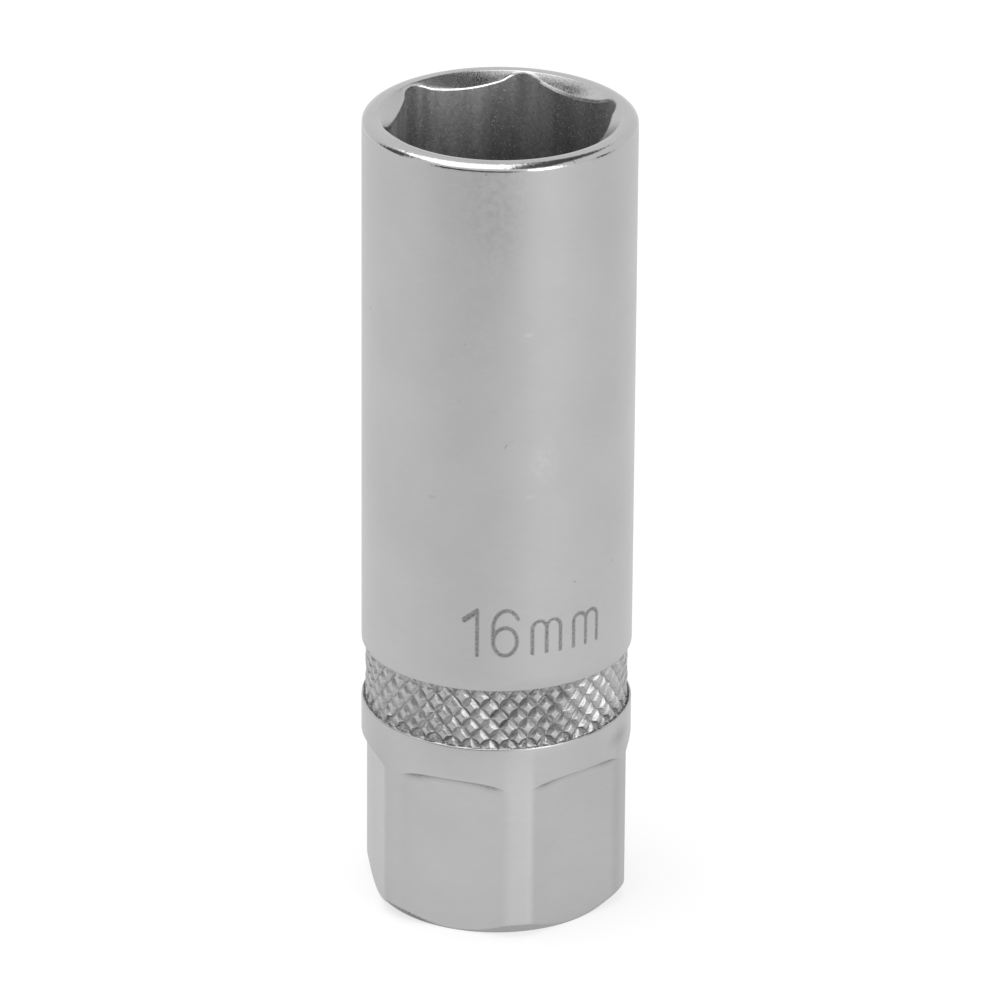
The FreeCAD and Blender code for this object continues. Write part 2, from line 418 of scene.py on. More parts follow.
def chamferRows(angles, flats, paintedLightShade):
    # painted shade over the chamfer, and a painted dark reflection on one side of it
    slope = math.tan(math.radians(spanner["chamferSlope"]))
    fromChamferDarkReflection = np.abs(turnFrom(spanner["chamferDarkReflectionTurn"], angles))
    dark = spanner["chamferDarkReflectionShade"] * (1.0 - between(fromChamferDarkReflection, *spanner["chamferDarkReflectionFade"]))
    small = spanner["endRound"]
    rows = [(steel["endR"] + small, small, {"cutAndPaintedShade": spanner["chamferPaintedShade"]})]
    for z in spanner["chamferHeights"]:
        cone = steel["endR"] + z / slope
        cut = between(flats - cone, *spanner["chamferFade"])
        finish = {"cutAndPaintedShade": cut * (spanner["chamferPaintedShade"] + dark), "paintedLightShade": paintedLightShade * (1.0 - cut)}
        rows.append((smoothMin(flats, cone, spanner["chamferBlend"]), z, finish))
    return rows


def flatRows(angles, fromFlat, flats, paintedLightShade):
    # the flats, a small round under their arched top lines, and the ledge, with a painted dark line and
    # painted shade under it
    tubeR = steel["tubeR"]
    stepIn = tubeR - flats
    foot = spanner["chamferHeights"][-1]
    line = spanner["flatsTop"] - spanner["crown"] * np.abs(fromFlat / spanner["crownHalfTurn"]) ** 3
    fromFaint = np.abs(turnFrom(spanner["faintTurn"], angles))
    marked = between(stepIn, *spanner["markedStep"])
    marked = marked * atLeast(spanner["faintShare"], between(fromFaint, *spanner["faintFade"]))
    size = np.minimum(spanner["ledgeRound"], stepIn * spanner["ledgeShare"])
    rows = [(flats, foot + (line - foot) * share, {"paintedLightShade": paintedLightShade}) for share in spanner["flatShares"]]
    for down, shade in spanner["underLedge"]:
        rows.append((flats, line - size - down, {"cutAndPaintedShade": shade * marked, "paintedLightShade": paintedLightShade}))
    for turn in spanner["ledgeTurns"]:
        t = math.radians(turn)
        share = (turn / spanner["ledgeTurns"][-1]) ** spanner["shadePower"]
        shade = marked * (spanner["ledgeFootPaintedShade"] + spanner["ledgeTopPaintedShade"] * share)
        rows.append((flats + size * (1.0 - math.cos(t)), line - size * (1.0 - math.sin(t)),
                     {"cutAndPaintedShade": shade, "paintedLightShade": paintedLightShade}))
    # painted dark line along the top of the flat
    shade = spanner["linePaintedShade"] * marked
    bevel = np.minimum(spanner["lineBevel"], stepIn * spanner["bevelShare"])
    rows.append((tubeR - bevel, line, {"cutAndPaintedShade": shade, "paintedLightShade": paintedLightShade}))
    for up, shaded, paintedLightKept in spanner["overLine"]:
        rows.append((tubeR, line + up, {"cutAndPaintedShade": shaded * shade, "paintedLightShade": paintedLightKept * paintedLightShade}))
    return rows


def collarRows(angles, paintedLightShade):
    # the collar with its smudge, and its torn upper lip with painted shade on the camera's side
    tubeR = steel["tubeR"]
    top = spanner["collarTop"]
    lip = spanner["lipHeight"]
    kept, lost = spanner["collarPaintedLightShade"]
    across = np.radians(angles - spanner["smudgeTurn"]) * tubeR / spanner["smudgeHalfWidth"]
    rows = []
    for z in spanner["collarHeights"]:
        fromSmudge = np.hypot(across, z - spanner["smudgeHeight"])
        smudge = spanner["smudgeShade"] * (1.0 - between(fromSmudge, *spanner["smudgeFade"]))
        fading = kept - lost * (z - spanner["collarHeights"][0])
        rows.append((tubeR, z, {"cutAndPaintedShade": smudge, "paintedLightShade": paintedLightShade * fading}))
    hand = np.random.default_rng(spanner["lipSeed"])
    burr = spanner["burr"] * hand.normal(0.0, 1.0, (3, len(angles)))
    facing = frontShare(angles, *spanner["frontFade"])
    shade = spanner["lipPaintedShade"]
    wornAndShaded = shade + shade * hand.normal(0.0, 1.0, len(angles))
    wornAndShaded = np.clip(wornAndShaded, 0.0, spanner["lipPaintedShadeMost"]) * facing
    # the lip's rows: inward, height, torn inward, torn upward, painted shade
    lipRows = [
        (0.012, top - 0.04, 0.0, 0.0, 0.0),
        (0.04, top, 0.0, 0.3 * burr[0], 0.5 * wornAndShaded),
        (0.1, top + lip, 0.5 * burr[1], burr[0], wornAndShaded),
        (0.15, top + 0.4 * lip, 0.5 * burr[1], burr[2], 0.05 + 0.35 * facing),
    ]
    for inward, z, tornIn, tornUp, shade in lipRows:
        rows.append((tubeR - inward + tornIn, z + tornUp, {"cutAndPaintedShade": shade}))
    return rows


def spannerRows(angles):
    # from the end face up to the collar's lip
    fromFlat = (angles - steel["flatsTurn"]) % 60.0 - 30.0
    hexagon = steel["flatInner"] / np.cos(np.radians(fromFlat))
    flats = smoothMin(hexagon, steel["tubeR"], spanner["flatBlend"])
    # painted light and shade on the flats, by turn
    paintedLightShade = np.interp(angles, paintedLightTurns, paintedLightShares)
    rows = chamferRows(angles, flats, paintedLightShade)
    rows += flatRows(angles, fromFlat, flats, paintedLightShade)
    return rows + collarRows(angles, paintedLightShade)


# diamond knurl, rolled as two sets of slanting grooves that narrow where they cross
knurl = {
    "low": 16.2,
    "high": 21.4,
    "count": 43,  # diamonds in a row round the socket
    "halfRows": 6,
    "phase": -107.43,  # turn of the first diamond
    "samples": (0.13, 0.22, 0.29, 0.36, 0.43),  # lines of points, in pitches from a diamond's middle
    "recess": 0.32,  # the band lies this far under the tube
    "slopeTop": 21.88,  # slopes lead up to the tube and down to the collar
    "slopeHeight": 1.1,
    "footLow": 15.0,
    "footHeight": 1.5,
    "grooveDepth": 0.25,
    "fallingGroove": (0.31, 0.11),  # half widths in pitches, at the widest and at a crossing
    "risingGroove": (0.28, 0.13),
    "scoop": 1.35,  # power that rounds the sides of a groove
    "narrowing": 0.4,  # power that makes a narrow groove shallower
    "edgeRound": 0.06,  # softens the upper edges of a groove
    "unevenness": 0.019,
    "liftShare": 0.6,  # share of it that lifts a diamond and doesn't tilt it
    "depthChange": 0.12,
    "crowning": 0.02,
    "topFade": 0.6,  # depth of the grooves that is left at the band's ends
    "footFade": 0.3,
    "fadeRate": 1.3,  # how fast the fades end, per half diamond from the band's end
    "tornRate": 1.9,  # and how fast the torn ends do
    "tornEdge": 0.033,
    "grit": 0.003,
    # painted shade in the grooves, at their crossings and at the band's ends
    "groovePaintedShade": 0.2,
    "shadePower": 0.8,
    "crossingPaintedShade": 0.4,
    "crossingLeast": 0.5,  # share of that painted shade that is left away from the front
    "crossingReach": 0.36,  # how far the dark of a crossing reaches, in half pitches
    "frontPaintedShadeTurn": -96.0,
    "frontPaintedShadeHalfTurn": 26.0,
    "frontPaintedShade": 0.3,
    "footEdgePaintedShade": 0.16,
    "footEdgeFrom": 0.2,  # cosine of the turn from the middle of the front painted shade where the foot's painted shade starts
    "footEdgeRate": 2.0,  # and how fast it grows from there
    "topEdgePaintedShade": 0.4,
    "seed": 7,
}


def grooveShare(across, along, widths):
    # how deep in a groove a point is, whole numbers are the middles of the diamonds
    wide, narrow = widths
    fromCrossing = 1.0 - (2.0 * (along - round(along))) ** 2
    half = narrow + (wide - narrow) * fromCrossing
    share = max(0.0, 1.0 - (0.5 - abs(across - round(across))) / half)
    scooped = 1.0 - (1.0 - share) ** knurl["scoop"]
    rounded = math.hypot(scooped, knurl["edgeRound"]) - knurl["edgeRound"]
    return rounded * (half / wide) ** knurl["narrowing"]


def diamondRelief(du, dv, cut, uneven, fromEnd, fade):
    # height of the rolled skin over the smooth band, du and dv run from -1 to 1 over a diamond
    lift, leanU, leanV, deeper = uneven
    top = (lift * knurl["liftShare"] + leanU * du + leanV * dv) * knurl["unevenness"] * fromEnd
    top -= knurl["crowning"] * (du * du + dv * dv)
    depth = knurl["grooveDepth"] * (1.0 + knurl["depthChange"] * deeper) * atLeast(fade, fromEnd)
    return top * (1.0 - cut) - depth * cut


def diamondShade(du, dv, cut, turn, nearEnd, atFoot):
    # painted shade: grooves are darker at the crossings, at the front and at the band's ends
    facing = math.cos(turn - math.radians(knurl["frontPaintedShadeTurn"]))
    frontPaintedShare = 1.0 / (1.0 + (math.degrees(math.acos(facing)) / knurl["frontPaintedShadeHalfTurn"]) ** 4)
    crossing = 1.0
    for side in (du, dv):
        crossing *= max(0.0, 1.0 - (1.0 - abs(side)) / knurl["crossingReach"])
    grooved = (knurl["groovePaintedShade"] + knurl["frontPaintedShade"] * frontPaintedShare) * cut ** knurl["shadePower"]
    crossed = knurl["crossingPaintedShade"] * crossing * atLeast(knurl["crossingLeast"], frontPaintedShare)
    edge = knurl["topEdgePaintedShade"]
    if atFoot:
        share = knurl["footEdgeRate"] * (facing - knurl["footEdgeFrom"])
        edge = knurl["footEdgePaintedShade"] * min(1.0, max(0.0, share))
    return max(grooved + crossed, edge * nearEnd)


def addKnurl(skin):
    # points on the slanting lines u and v of the two groove sets, d counts them up the band
    samples = sorted([-s for s in knurl["samples"]] + [0.0] + list(knurl["samples"]) + [0.5])
    per = len(samples)
    count = knurl["count"] * per
    span = knurl["halfRows"] // 2 * per
    halfPitch = 180.0 / knurl["count"]
    rowHeight = (knurl["high"] - knurl["low"]) / knurl["halfRows"]
    middle = 0.5 * (knurl["high"] + knurl["low"])
    hand = random.Random(knurl["seed"])
    uneven = {(u, d): [hand.gauss(0.0, 1.0) for _ in range(4)]
              for u in range(knurl["count"]) for d in range(-knurl["halfRows"], knurl["halfRows"] + 1)}
    ids = {}
    for i in range(count):
        u = i // per + samples[i % per]
        for d in range(-span, span + 1):
            v = (i - d) // per + samples[(i - d) % per]
            turn = math.radians(knurl["phase"] + (u + v) * halfPitch)
            z = middle + (u - v) * rowHeight
            underTube = (knurl["slopeTop"] - z) / knurl["slopeHeight"]
            overFoot = (z - knurl["footLow"]) / knurl["footHeight"]
            sunk = knurl["recess"] * min(1.0, underTube, overFoot)
            inward = (span - abs(d)) / per
            fromEnd = min(1.0, inward * knurl["fadeRate"])
            nearEnd = max(0.0, 1.0 - inward * knurl["tornRate"])
            du = 2.0 * (u - round(u))
            dv = 2.0 * (v - round(v))
            cut = max(grooveShare(u, v, knurl["fallingGroove"]), grooveShare(v, u, knurl["risingGroove"]))
            own = uneven[(round(u) % knurl["count"], round(u) - round(v))]
            fade = knurl["footFade"] if d < 0 else knurl["topFade"]
            relief = diamondRelief(du, dv, cut, own, fromEnd, fade)
            torn = (knurl["grit"] + knurl["tornEdge"] * nearEnd) * hand.gauss(0.0, 1.0)
            radius = steel["tubeR"] - sunk + relief + torn
            ids[(i, d)] = len(skin["points"])
            skin["points"].append((radius * math.cos(turn) * mm, radius * math.sin(turn) * mm, z * mm))
            finish = {"cutAndPaintedShade": diamondShade(du, dv, cut, turn, nearEnd, d < 0), "rolledBand": 1.0}
            skin["finish"].append([finish.get(name, 0.0) for name in finishNames])
    addKnurlFaces(skin, ids, count, span, per)
    return [ids[(i, -span)] for i in range(count)], [ids[(i, span)] for i in range(count)]


def addKnurlFaces(skin, ids, count, span, per):
    def at(i, d):
        return ids[(i % count, d)]

    faces = skin["faces"]
    for i in range(count):
        for d in range(-span, span + 1):
            here = at(i, d)
            right = at(i + 1, d)
            if d == span:
                faces.append((here, at(i, d - 1), right))
                continue
            up = at(i + 1, d + 1)
            if d == -span:
                faces.append((here, right, up))
                continue
            down = at(i, d - 1)
            if i % per + (i - d) % per == per - 2:  # this one is split the other way
                faces.append((here, down, up))
                faces.append((down, right, up))
            else:
                faces.append((here, down, right))
                faces.append((here, right, up))


# plain tube and rounded rim
tube = {
    "low": 21.37,
    # painted shade along the tube's lower edge
    "lowInner": 0.1,  # the first ring lies this far inside the tube
    "lowInnerPaintedShade": 0.35,
    "lowProfile": ((0.03, 21.365, 0.2), (0.0, 21.42, 0.0), (0.0, 22.4, 0.0)),  # inward, height, painted shade
    "underRim": 0.12,  # the last plain row lies this far under the rim
    "plainLow": 30.0,
    "plainRows": 4,
    "rimAcross": 0.82,
    "rimDown": 0.58,
    "rimRows": 17,
    "rimPolishFrom": (0.0, 8.0),  # turns of the rim's round, 0 at the tube and 90 at the top
    "rimPolishLoss": (0.35, 76.0, 90.0),  # share lost, and the turns where the loss starts and is full
    "rimPaintedShade": (0.2, 78.0, 90.0),  # painted shade on the rim's top on the camera's side, and its turns
    # cosines of the turns where the painted shade on the rim's top starts and is full
    "frontFade": (0.3, 0.8),
}
# the size, cut into the tube
sizeMark = {
    "start": -123.83,  # turn of the mark's left end
    "base": 24.42,
    "cutHalf": 0.19,
    "cutDepth": 0.03,
    "cutAndPaintedShade": 0.66,
    "shadeGain": 1.4,  # the shade is full before the middle of a stroke
    "low": 24.1,  # the tube has fine rows and columns from here
    "high": 28.6,  # to here
    "step": 0.068,
    "middleTurn": -92.9,
    "halfTurn": 32.6,
}


def arcPoints(centreX, centreY, acrossR, upR, start, end, count):
    angles = np.radians(np.linspace(start, end, count))
    return [(centreX + acrossR * math.cos(t), centreY + upR * math.sin(t)) for t in angles]


def figureStrokes():
    # plain single-stroke figures in millimetres, x along the skin and y up from the base line
    one = [[(0.0, 2.97), (1.05, 3.8), (1.05, 0.0)], [(0.04, 2.84), (1.0, 3.6)]]
    six = [arcPoints(1.16, 2.29, 1.02, 1.51, 30, 180, 16) + arcPoints(1.06, 1.17, 0.92, 1.17, 180, 540, 32)]
    arch = arcPoints(0.585, 2.06, 0.585, 0.61, 180, 0, 12)
    unit = [[(0.0, 2.06), (0.0, 0.0)], arch + [(1.17, 0.0)], [(x + 1.17, y) for x, y in arch] + [(2.34, 0.0)]]
    placed = []
    for strokes, left in ((one, 0.2), (six, 2.35), (unit, 5.55), (unit, 9.07)):
        placed += [[(x + left, y) for x, y in stroke] for stroke in strokes]
    return placed


def markShare(x, y):
    # 1 in the middle of a stroke and 0 beside it, at points of the unrolled tube
    nearest = np.full(x.shape, math.inf)
    for stroke in figureStrokes():
        for (ax, ay), (bx, by) in zip(stroke, stroke[1:]):
            dx = bx - ax
            dy = by - ay
            t = np.clip(((x - ax) * dx + (y - ay) * dy) / (dx * dx + dy * dy), 0.0, 1.0)
            nearest = np.minimum(nearest, np.hypot(x - ax - t * dx, y - ay - t * dy))
    side = np.clip(1.0 - nearest / sizeMark["cutHalf"], 0.0, 1.0)
    return side * (2.0 - side)


def tubeRows(angles):
    # from the knurl up to the top of the rim
    top = steel["length"]
    r = steel["tubeR"]
    rows = [(r - inward, z, {"cutAndPaintedShade": shade}) for inward, z, shade in tube["lowProfile"]]
    x = np.radians((angles - sizeMark["start"] + 30.0) % 360.0 - 30.0) * r
    for z in np.arange(sizeMark["low"], sizeMark["high"], sizeMark["step"]):
        share = markShare(x, np.full(x.shape, z - sizeMark["base"]))
        shade = sizeMark["cutAndPaintedShade"] * np.minimum(1.0, share * sizeMark["shadeGain"])
        rows.append((r - sizeMark["cutDepth"] * share, z, {"cutAndPaintedShade": shade}))
    for z in np.linspace(tube["plainLow"], top - tube["rimDown"] - tube["underRim"], tube["plainRows"]):
        rows.append((r, z))
    facing = frontShare(angles, *tube["frontFade"])
    loss, lossStart, lossEnd = tube["rimPolishLoss"]
    rimShadeAmount, rimShadeStart, rimShadeEnd = tube["rimPaintedShade"]
    for turn in np.linspace(0.0, 90.0, tube["rimRows"]):
        t = math.radians(turn)
        polish = between(turn, *tube["rimPolishFrom"]) * (1.0 - loss * between(turn, lossStart, lossEnd))
        # painted shade on the rim's top, strongest on the camera's side
        shade = rimShadeAmount * facing * between(turn, rimShadeStart, rimShadeEnd)
        rows.append((r - tube["rimAcross"] * (1.0 - math.cos(t)), top - tube["rimDown"] * (1.0 - math.sin(t)),
                     {"polish": polish, "cutAndPaintedShade": shade}))
    return rows


# columns of points round the axis, in degrees: plain steps, and half width and step of the fine zones
columns = {
    "plainStep": 3.0,
    "hexCorner": (11.0, 1.22),
    "squareCorner": (4.0, 1.0),
    "flatStep": 1.5,
    "flatEdge": (2.4, 0.4),
    "flatEdgeTurn": 5.2,  # from a corner of the spanner hexagon to the end of a flat
}


def makeSteelSkin():
    # one closed skin: knurl, tube, rim, hole, end face, flats, collar and back to the knurl
    markStep = math.degrees(sizeMark["step"] / steel["tubeR"])
    markZone = (sizeMark["middleTurn"] % 360.0, sizeMark["halfTurn"], markStep)
    tubeAngles = columnAngles(columns["plainStep"], [markZone])
    corners = [(60.0 * i,) + columns["hexCorner"] for i in range(6)]
    corners += [(45.0 + 90.0 * i,) + columns["squareCorner"] for i in range(4)]
    hollowAngles = columnAngles(columns["plainStep"], corners)
    flatEdges = [(steel["flatsTurn"] + 60.0 * i + side * columns["flatEdgeTurn"],) + columns["flatEdge"]
                 for i in range(6) for side in (-1, 1)]
    spannerAngles = columnAngles(columns["flatStep"], flatEdges)

    skin = newSkin()
    low, high = addKnurl(skin)
    current = addLoop(skin, tubeAngles, steel["tubeR"] - tube["lowInner"], tube["low"],
                      {"cutAndPaintedShade": tube["lowInnerPaintedShade"]})
    zipLoops(skin, high, current)
    rim = addRows(skin, current, tubeAngles, tubeRows(tubeAngles))
    ridge = addLoop(skin, hollowAngles, mouth["coneR"] + mouth["ridgeStep"], steel["length"],
                    {"polish": mouth["rimPolish"]})
    zipLoops(skin, rim, ridge)
    hollowRows = mouthRows(hollowAngles) + boreRows() + driveRows(hollowAngles)
    hole = addRows(skin, ridge, hollowAngles, hollowRows)
    foot = addLoop(skin, spannerAngles, steel["endR"] - spanner["endRound"], 0.0)
    zipLoops(skin, hole, foot)
    collar = addRows(skin, foot, spannerAngles, spannerRows(spannerAngles))
    zipLoops(skin, collar, low)
    return skin


def newObject(name, data):
    piece = bpy.data.objects.new(name, data)
    bpy.context.scene.collection.objects.link(piece)
    return piece


def pieceFromSkin(skin, name, sharpAngle):
    # edges that turn by more than sharpAngle degrees aren't smoothed
    mesh = bpy.data.meshes.new(name)
    mesh.from_pydata(skin["points"], [], skin["faces"])
    mesh.validate()
    mesh.shade_smooth()
    mesh.set_sharp_from_angle(angle=math.radians(sharpAngle))
    finish = np.array(skin["finish"], dtype=np.float32)
    for column, label in enumerate(finishNames):
        layer = mesh.attributes.new(label, "FLOAT", "POINT")
        layer.data.foreach_set("value", np.ascontiguousarray(finish[:, column]))
    return newObject(name, mesh)


socketSteel = pieceFromSkin(makeSteelSkin(), "socketSteel", sharpAngle=32.0)
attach(socketSteel, "root")
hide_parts("socket_body")
print("steel body:", sum(len(face.vertices) - 2 for face in socketSteel.data.polygons), "triangles")


# small helpers for shader nodes, tree is the material's or the room's node tree
def newMaterial(name):
    material = bpy.data.materials.new(name)
    material.use_nodes = True
    return material, material.node_tree, material.node_tree.nodes["Principled BSDF"]


def feed(tree, socket, value):
    if isinstance(value, (int, float)):
        socket.default_value = value
    else:
        tree.links.new(value, socket)


def objectPlace(tree):
    return tree.nodes.new("ShaderNodeTexCoord").outputs["Object"]


def noise(tree, place, scale, detail, finer=1.0):
    # finer is how many times finer the noise is along the socket's axis
    if finer != 1.0:
        mapping = tree.nodes.new("ShaderNodeMapping")
        mapping.inputs["Scale"].default_value = (1.0, 1.0, finer)
        tree.links.new(place, mapping.inputs["Vector"])
        place = mapping.outputs["Vector"]
    texture = tree.nodes.new("ShaderNodeTexNoise")
    texture.inputs["Scale"].default_value = scale
    texture.inputs["Detail"].default_value = detail
    tree.links.new(place, texture.inputs["Vector"])
    return texture.outputs["Fac"]


def spread(tree, value, low, high, toLow, toHigh):
    span = tree.nodes.new("ShaderNodeMapRange")
    for label, number in (("From Min", low), ("From Max", high), ("To Min", toLow), ("To Max", toHigh)):
        span.inputs[label].default_value = number
    tree.links.new(value, span.inputs["Value"])
    return span.outputs["Result"]


def combine(tree, operation, first, second):
    node = tree.nodes.new("ShaderNodeMath")
    node.operation = operation
    feed(tree, node.inputs[0], first)
    feed(tree, node.inputs[1], second)
    return node.outputs[0]


def multiply(tree, first, second):
    return combine(tree, "MULTIPLY", first, second)


def add(tree, first, second):
    return combine(tree, "ADD", first, second)


def blendValue(tree, share, first, second):
    # a mix node has its two numbers in sockets 2 and 3, and two colours in 6 and 7
    node = tree.nodes.new("ShaderNodeMix")
    node.data_type = "FLOAT"
    feed(tree, node.inputs[0], share)
    feed(tree, node.inputs[2], first)
    feed(tree, node.inputs[3], second)
    return node.outputs[0]


def pointLayer(tree, label):
    node = tree.nodes.new("ShaderNodeAttribute")
    node.attribute_name = label
    return node.outputs["Fac"]


def addBump(tree, shader, relief, distance, strength):
    bump = tree.nodes.new("ShaderNodeBump")
    bump.inputs["Distance"].default_value = distance
    bump.inputs["Strength"].default_value = strength
    tree.links.new(relief, bump.inputs["Height"])
    tree.links.new(bump.outputs["Normal"], shader.inputs["Normal"])


satinChrome = {
    "shine": 0.465,
    "cutAndShadeShine": 0.1,
    "innerShine": 0.66,
    "roughness": 0.36,
    "rimRoughness": 0.18,
    "innerRoughness": 0.42,
    "rolledRoughness": 0.39,
    "pitScale": 330.0,
    "toolingRelief": 1.2,  # heights of the reliefs, as shares of the grain's
    "rolledRelief": 3.0,
    "innerRelief": 3.0,
    "platedRelief": 2.6,
    "rimRelief": 2.8,
    "bumpDistance": 0.00002,
    "bumpStrength": 0.3,
}
# noise in the plating: scale, detail, how much finer along the axis
chromeNoise = {
    "cloud": (140.0, 4.0, 1.0),  # plating clouds, some millimetres across
    "grain": (7000.0, 2.0, 1.0),  # fine satin grain
    "tooling": (900.0, 5.0, 3.5),  # turning marks
    "rarity": (210.0, 0.0, 1.0),  # where the tiny pits are
    "lines": (2600.0, 3.0, 5.0),  # rolling lines
    "streak": (330.0, 3.0, 0.08),  # broaching streaks
    "cast": (3300.0, 3.0, 1.0),  # painted glints, as bright specks in the dull hole
    "glintSpeck": (8000.0, 1.0, 1.0),  # bright specks in the dull hole
    "gather": (450.0, 3.0, 1.0),  # where the painted glints gather
    "peel": (2600.0, 2.0, 1.0),  # fine orange peel on the polished rim
    "mottle": (1900.0, 4.0, 1.0),  # uneven plating in the large patches
}
# what is made of them and of the skin's layers: two levels, and the change of shine at each
chromeChange = {
    "cloud": (0.3, 0.7, 0.965, 1.03),
    "grain": (0.25, 0.75, 0.985, 1.015),
    "tooling": (0.3, 0.7, 0.988, 1.012),
    "rarity": (0.55, 0.6, 0.0, 0.3),
    "pits": (0.02, 0.04, 1.0, 0.0),
    "paintedLightShade": (-1.0, 1.0, 0.87, 1.13),
    "lines": (0.3, 0.7, 0.8, 1.16),
    "streak": (0.3, 0.7, 0.6, 1.35),
    "cast": (0.3, 0.7, 0.85, 1.15),
    "glintSpeck": (0.655, 0.69, 0.0, 7.0),
    "gather": (0.46, 0.6, 0.1, 1.0),
    "cutAndShadeGrain": (0.35, 0.65, 0.3, 2.2),
    "plateGrain": (0.0, 1.0, 1.0, 0.6),
    "roughGrain": (0.3, 0.7, -0.04, 0.04),  # of roughness, not of shine
    "mottle": (0.42, 0.6, 0.0, 1.0),
}
# nicks and rubbed spots on the tube: turn, height, tilt, half width, half height, change of shine
spots = [
    (-105.6, 42.0, 28.0, 0.09, 0.32, -0.26),
    (-103.2, 42.4, 66.0, 0.07, 0.42, -0.1),
    (-137.1, 37.2, 80.0, 0.22, 0.5, -0.09),
    (-125.2, 45.6, -35.0, 0.12, 0.34, -0.1),
    (-122.8, 50.3, 0.0, 0.13, 0.15, -0.12),
    (-128.8, 49.3, 20.0, 0.14, 0.2, -0.07),
    (-96.3, 51.1, 88.0, 0.2, 0.42, 0.12),
    (-95.3, 37.7, 80.0, 0.24, 0.5, 0.08),
    (-149.1, 64.75, 20.0, 0.1, 0.2, 0.7),
    (-152.5, 64.8, 60.0, 0.12, 0.24, -0.5),
    (-76.8, 64.75, -30.0, 0.08, 0.28, -0.4),
]
# larger patches of uneven plating, whose even change paints light and dark reflections: turn, height, half
# width, half height, even and mottled change
patches = [
    (-111.0, 62.2, 3.1, 8.4, -0.035, -0.1),
    (-90.0, 40.4, 1.5, 2.6, 0.03, 0.07),
    (-119.0, 52.0, 2.6, 6.0, -0.015, -0.03),
]
spotCore = 0.35  # share of a spot that has its full change, the rest fades out
patchCore = 0.1
spotDepth = 2.0  # how far in and out from the tube's skin they reach


def changed(tree, value, label):
    return spread(tree, value, *chromeChange[label])


def varied(tree, shine, sources, *labels):
    # the shine times the change that each of the named noises or layers makes
    for label in labels:
        shine = multiply(tree, shine, changed(tree, sources[label], label))
    return shine


def ovalShare(tree, place, turn, height, tilt, across, high, core):
    # 1 inside an oval on the tube and 0 outside it
    around = math.radians(turn)
    radius = steel["tubeR"] * mm
    local = tree.nodes.new("ShaderNodeMapping")
    local.vector_type = "TEXTURE"
    middle = (radius * math.cos(around), radius * math.sin(around), height * mm)
    local.inputs["Location"].default_value = middle
    local.inputs["Rotation"].default_value = (math.radians(-tilt), 0.0, around)
    local.inputs["Scale"].default_value = (spotDepth * mm, across * mm, high * mm)
    tree.links.new(place, local.inputs["Vector"])
    far = tree.nodes.new("ShaderNodeVectorMath")
    far.operation = "LENGTH"
    tree.links.new(local.outputs["Vector"], far.inputs[0])
    return spread(tree, far.outputs["Value"], core, 1.0, 1.0, 0.0)


def spotAndPatchShine(tree, place, mottle):
    # what the spots and patches make of the tube's shine, with the patches' painted light and dark
    # reflections
    wornAndShaded = 1.0
    for turn, height, tilt, across, high, change in spots:
        share = ovalShare(tree, place, turn, height, tilt, across, high, spotCore)
        wornAndShaded = add(tree, multiply(tree, share, change), wornAndShaded)
    for turn, height, across, high, even, mottled in patches:
        share = ovalShare(tree, place, turn, height, 0.0, across, high, patchCore)
        change = add(tree, multiply(tree, mottle, mottled), even)
        wornAndShaded = add(tree, multiply(tree, share, change), wornAndShaded)
    return wornAndShaded


def tubeShine(tree, place, look, layer):
    shine = varied(tree, changed(tree, look["cloud"], "cloud"), look, "grain", "tooling")
    pits = tree.nodes.new("ShaderNodeTexVoronoi")
    pits.inputs["Scale"].default_value = satinChrome["pitScale"]
    tree.links.new(place, pits.inputs["Vector"])
    pitted = changed(tree, pits.outputs["Distance"], "pits")
    pitted = multiply(tree, changed(tree, look["rarity"], "rarity"), pitted)
    shine = multiply(tree, shine, combine(tree, "SUBTRACT", 1.0, pitted))
    shine = varied(tree, shine, layer, "paintedLightShade")
    shine = multiply(tree, shine, spotAndPatchShine(tree, place, changed(tree, look["mottle"], "mottle")))
    return multiply(tree, shine, satinChrome["shine"])


def innerShine(tree, look):
    # broached and cast skin of the hole with painted glints as bright specks
    shine = varied(tree, satinChrome["innerShine"], look, "streak", "cast")
    bright = varied(tree, changed(tree, look["glintSpeck"], "glintSpeck"), look, "gather")
    return add(tree, shine, bright)


def cutAndShadeShine(tree, look, layer):
    # colour of the cuts and of the painted shade, the cone's grain makes that painted shade darker still
    shine = multiply(tree, satinChrome["cutAndShadeShine"], changed(tree, look["grain"], "cutAndShadeGrain"))
    return varied(tree, shine, layer, "plateGrain")


